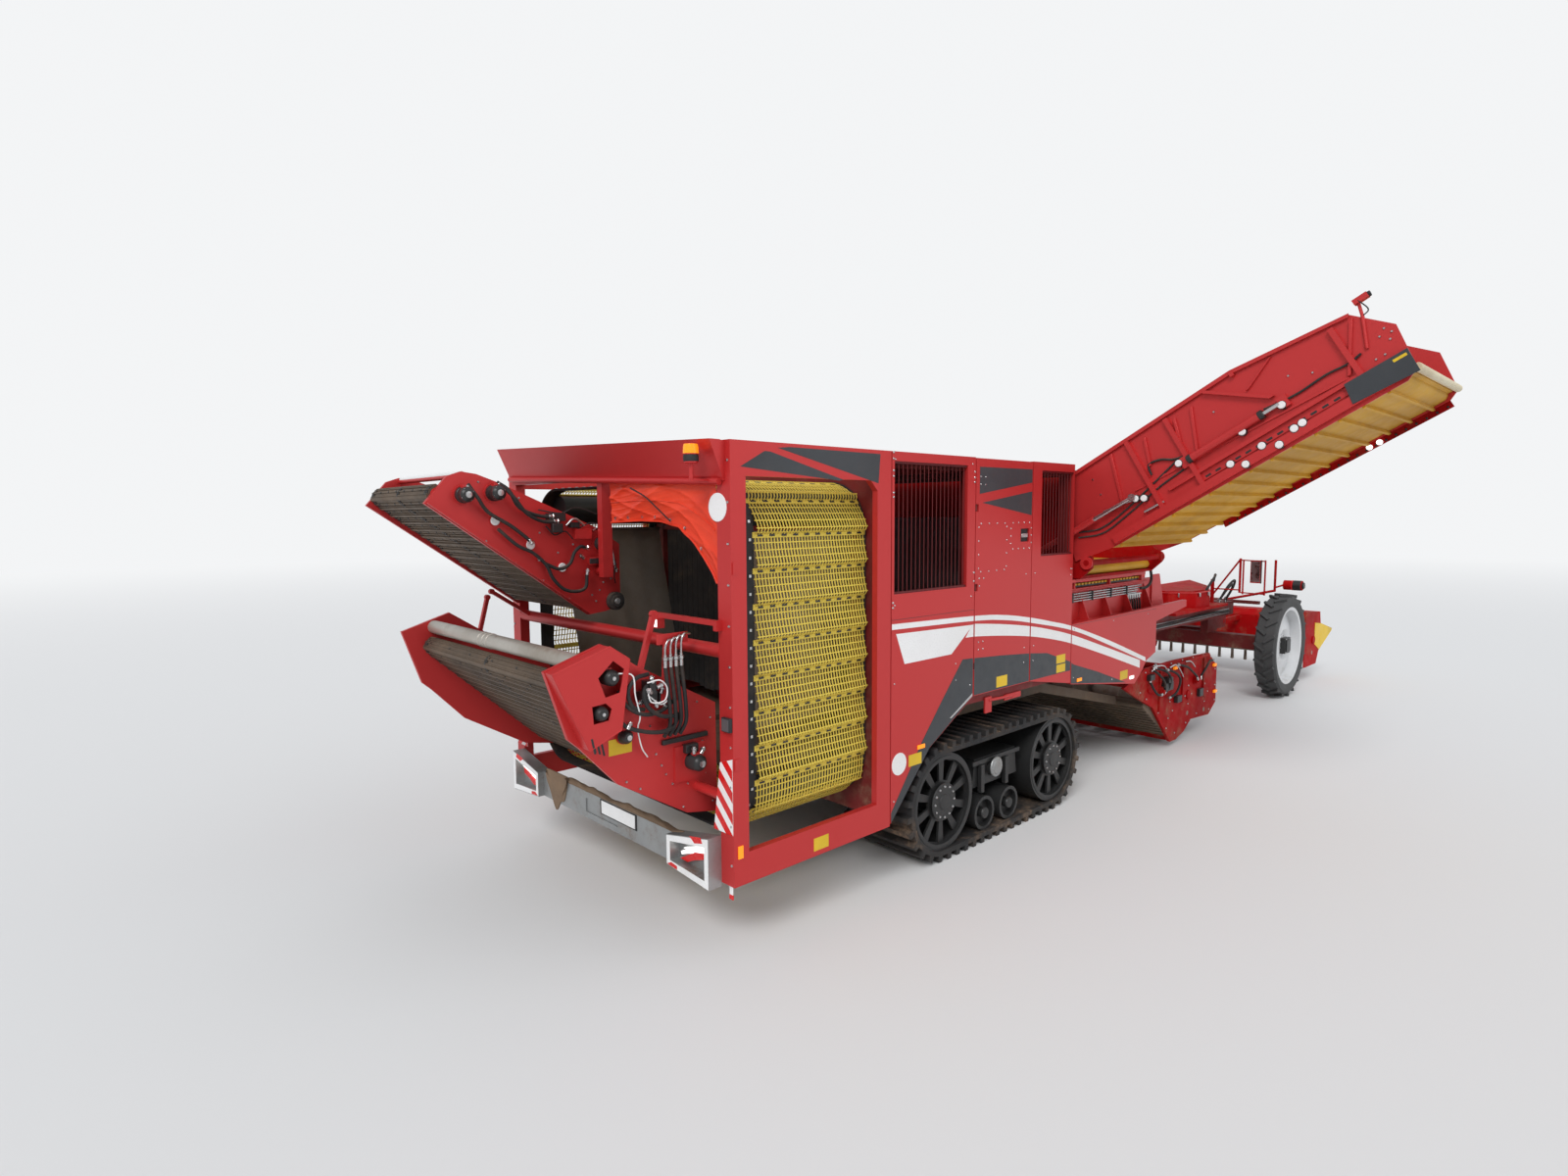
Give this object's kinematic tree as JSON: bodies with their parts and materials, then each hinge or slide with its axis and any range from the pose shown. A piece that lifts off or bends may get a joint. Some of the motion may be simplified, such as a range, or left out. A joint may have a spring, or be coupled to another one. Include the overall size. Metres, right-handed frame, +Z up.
{
  "type": "potato harvester",
  "caption": "Self-propelled potato harvester with rubber tracks, narrow steered front wheels, ring elevator and folding discharge elevator.",
  "frame": {"origin": "on the ground under the middle of the machine's box, as parked with the discharge elevator half raised", "axes": "+X points forward from the rear conveyors to the haulm topper, +Y to the machine's left, +Z up"},
  "size_m": [18.342, 6.8318, 5.4231],
  "materials": {
    "red_paint": "satin",
    "dark_red_paint": "satin",
    "grey_paint": "satin",
    "black_paint": "satin",
    "bare_steel": "satin",
    "zinc": "satin",
    "silver_paint": "satin",
    "web_yellow": "matte",
    "web_brown": "matte",
    "track_rubber": "matte",
    "tyre_rubber": "matte",
    "tarpaulin_red": "matte",
    "clear_glass": "gloss",
    "cab_black": "matte"
  },
  "bodies": {
    "chassis": {"main_frame": "red_paint", "rear_side_frames": "red_paint", "body_panels": "red_paint", "louvres": "dark_red_paint", "engine_block": "grey_paint", "ring_web": "web_yellow", "ring_rollers": "grey_paint", "sieve_web": "web_brown", "rear_bumper": "zinc", "tarpaulin": "tarpaulin_red", "track_belts": "track_rubber", "track_wheels": "black_paint", "track_frames": "grey_paint", "bunker_tub": "red_paint", "bunker_belt": "web_yellow", "cab_shell": "red_paint", "cab_glass": "clear_glass", "cab_interior": "cab_black", "front_deck": "red_paint", "front_axle": "red_paint"},
    "door_right": {"service_door_right": "red_paint"},
    "door_left": {"service_door_left": "red_paint"},
    "rear_upper": {"upper_conveyor": "red_paint", "upper_belt": "web_brown"},
    "rear_lower": {"lower_conveyor": "red_paint", "lower_belt": "web_brown"},
    "elevator": {"elevator_arm": "red_paint", "elevator_belt": "web_yellow"},
    "barrels": {"lift_barrels": "black_paint"},
    "rods": {"lift_rods": "bare_steel"},
    "digger": {"digger_frame": "red_paint", "digger_shares": "bare_steel", "digger_web": "web_brown"},
    "rollers": {"ridge_rollers": "grey_paint"},
    "discs": {"disc_coulters": "bare_steel"},
    "cab_entry": {"cab_door": "red_paint"},
    "ladder": {"cab_ladder": "grey_paint"},
    "steer_right": {"knuckle_right": "grey_paint"},
    "steer_left": {"knuckle_left": "grey_paint"},
    "wheel_right": {"rim_right": "silver_paint", "tyre_right": "tyre_rubber"},
    "wheel_left": {"rim_left": "silver_paint", "tyre_left": "tyre_rubber"},
    "topper": {"topper_hood": "red_paint"},
    "flails": {"topper_rotor": "grey_paint"}
  },
  "joints": [
    {"name": "door_right_swing", "type": "hinge", "parent": "chassis", "child": "door_right", "pos_m": [-4.497, -0.26409, 2.7], "axis": [0, 0, -1], "range_deg": [0, 100]},
    {"name": "door_left_swing", "type": "hinge", "parent": "chassis", "child": "door_left", "pos_m": [-4.497, 3.39592, 2.7], "axis": [0, 0, 1], "range_deg": [0, 100]},
    {"name": "rear_upper_tilt", "type": "hinge", "parent": "chassis", "child": "rear_upper", "pos_m": [-7.629, 2.46591, 2.95], "axis": [0, 1, 0], "range_deg": [-5, 6]},
    {"name": "rear_lower_tilt", "type": "hinge", "parent": "chassis", "child": "rear_lower", "pos_m": [-7.629, 1.68592, 1.255], "axis": [0, 1, 0], "range_deg": [-6, 6]},
    {"name": "elevator_lift", "type": "hinge", "parent": "chassis", "child": "elevator", "pos_m": [-1.429, -0.38409, 2.86], "axis": [-1, 0, 0], "range_deg": [-28, 6]},
    {"name": "lift_swing", "type": "hinge", "parent": "chassis", "child": "barrels", "pos_m": [-1.429, 0.21591, 2.96], "axis": [-1, 0, 0], "range_deg": [-19, 5]},
    {"name": "lift_stroke", "type": "slide", "parent": "barrels", "child": "rods", "axis": [0, -0.8706, 0.4921], "range_m": [-0.044, 0.168]},
    {"name": "digger_lift", "type": "hinge", "parent": "chassis", "child": "digger", "pos_m": [-0.329, 1.56591, 1.05], "axis": [0, -1, 0], "range_deg": [0, 12]},
    {"name": "rollers_turn", "type": "hinge", "parent": "digger", "child": "rollers", "pos_m": [1.921, 1.56591, 0.37], "axis": [0, 1, 0], "continuous": true},
    {"name": "discs_turn", "type": "hinge", "parent": "digger", "child": "discs", "pos_m": [1.281, 1.56591, 0.42], "axis": [0, 1, 0], "continuous": true},
    {"name": "cab_door_swing", "type": "hinge", "parent": "chassis", "child": "cab_entry", "pos_m": [3.057, 3.39391, 2.69], "axis": [0, 0, 1], "range_deg": [0, 80]},
    {"name": "ladder_fold", "type": "hinge", "parent": "chassis", "child": "ladder", "pos_m": [3.516, 3.33591, 1.845], "axis": [1, 0, 0], "range_deg": [0, 85]},
    {"name": "steer_right", "type": "hinge", "parent": "chassis", "child": "steer_right", "pos_m": [5.705, 0.23592, 0.96], "axis": [0, 0, 1], "range_deg": [-30, 30]},
    {"name": "steer_left", "type": "hinge", "parent": "chassis", "child": "steer_left", "pos_m": [5.705, 2.89592, 0.96], "axis": [0, 0, 1], "range_deg": [-30, 30]},
    {"name": "wheel_right_turn", "type": "hinge", "parent": "steer_right", "child": "wheel_right", "pos_m": [5.705, -0.10909, 0.96], "axis": [0, 1, 0], "continuous": true},
    {"name": "wheel_left_turn", "type": "hinge", "parent": "steer_left", "child": "wheel_left", "pos_m": [5.705, 3.24092, 0.96], "axis": [0, 1, 0], "continuous": true},
    {"name": "topper_lift", "type": "hinge", "parent": "chassis", "child": "topper", "pos_m": [6.265, 1.56591, 1.25], "axis": [0, -1, 0], "range_deg": [-4, 14]},
    {"name": "flails_turn", "type": "hinge", "parent": "topper", "child": "flails", "pos_m": [7.821, 1.56591, 0.56], "axis": [0, 1, 0], "continuous": true}
  ],
  "couplings": [
    {"joint": "lift_swing", "follows": "elevator_lift", "ratio": 0.6297},
    {"joint": "lift_stroke", "follows": "elevator_lift", "m_per_rad": -0.3243},
    {"joint": "steer_left", "follows": "steer_right", "ratio": 1}
  ]
}
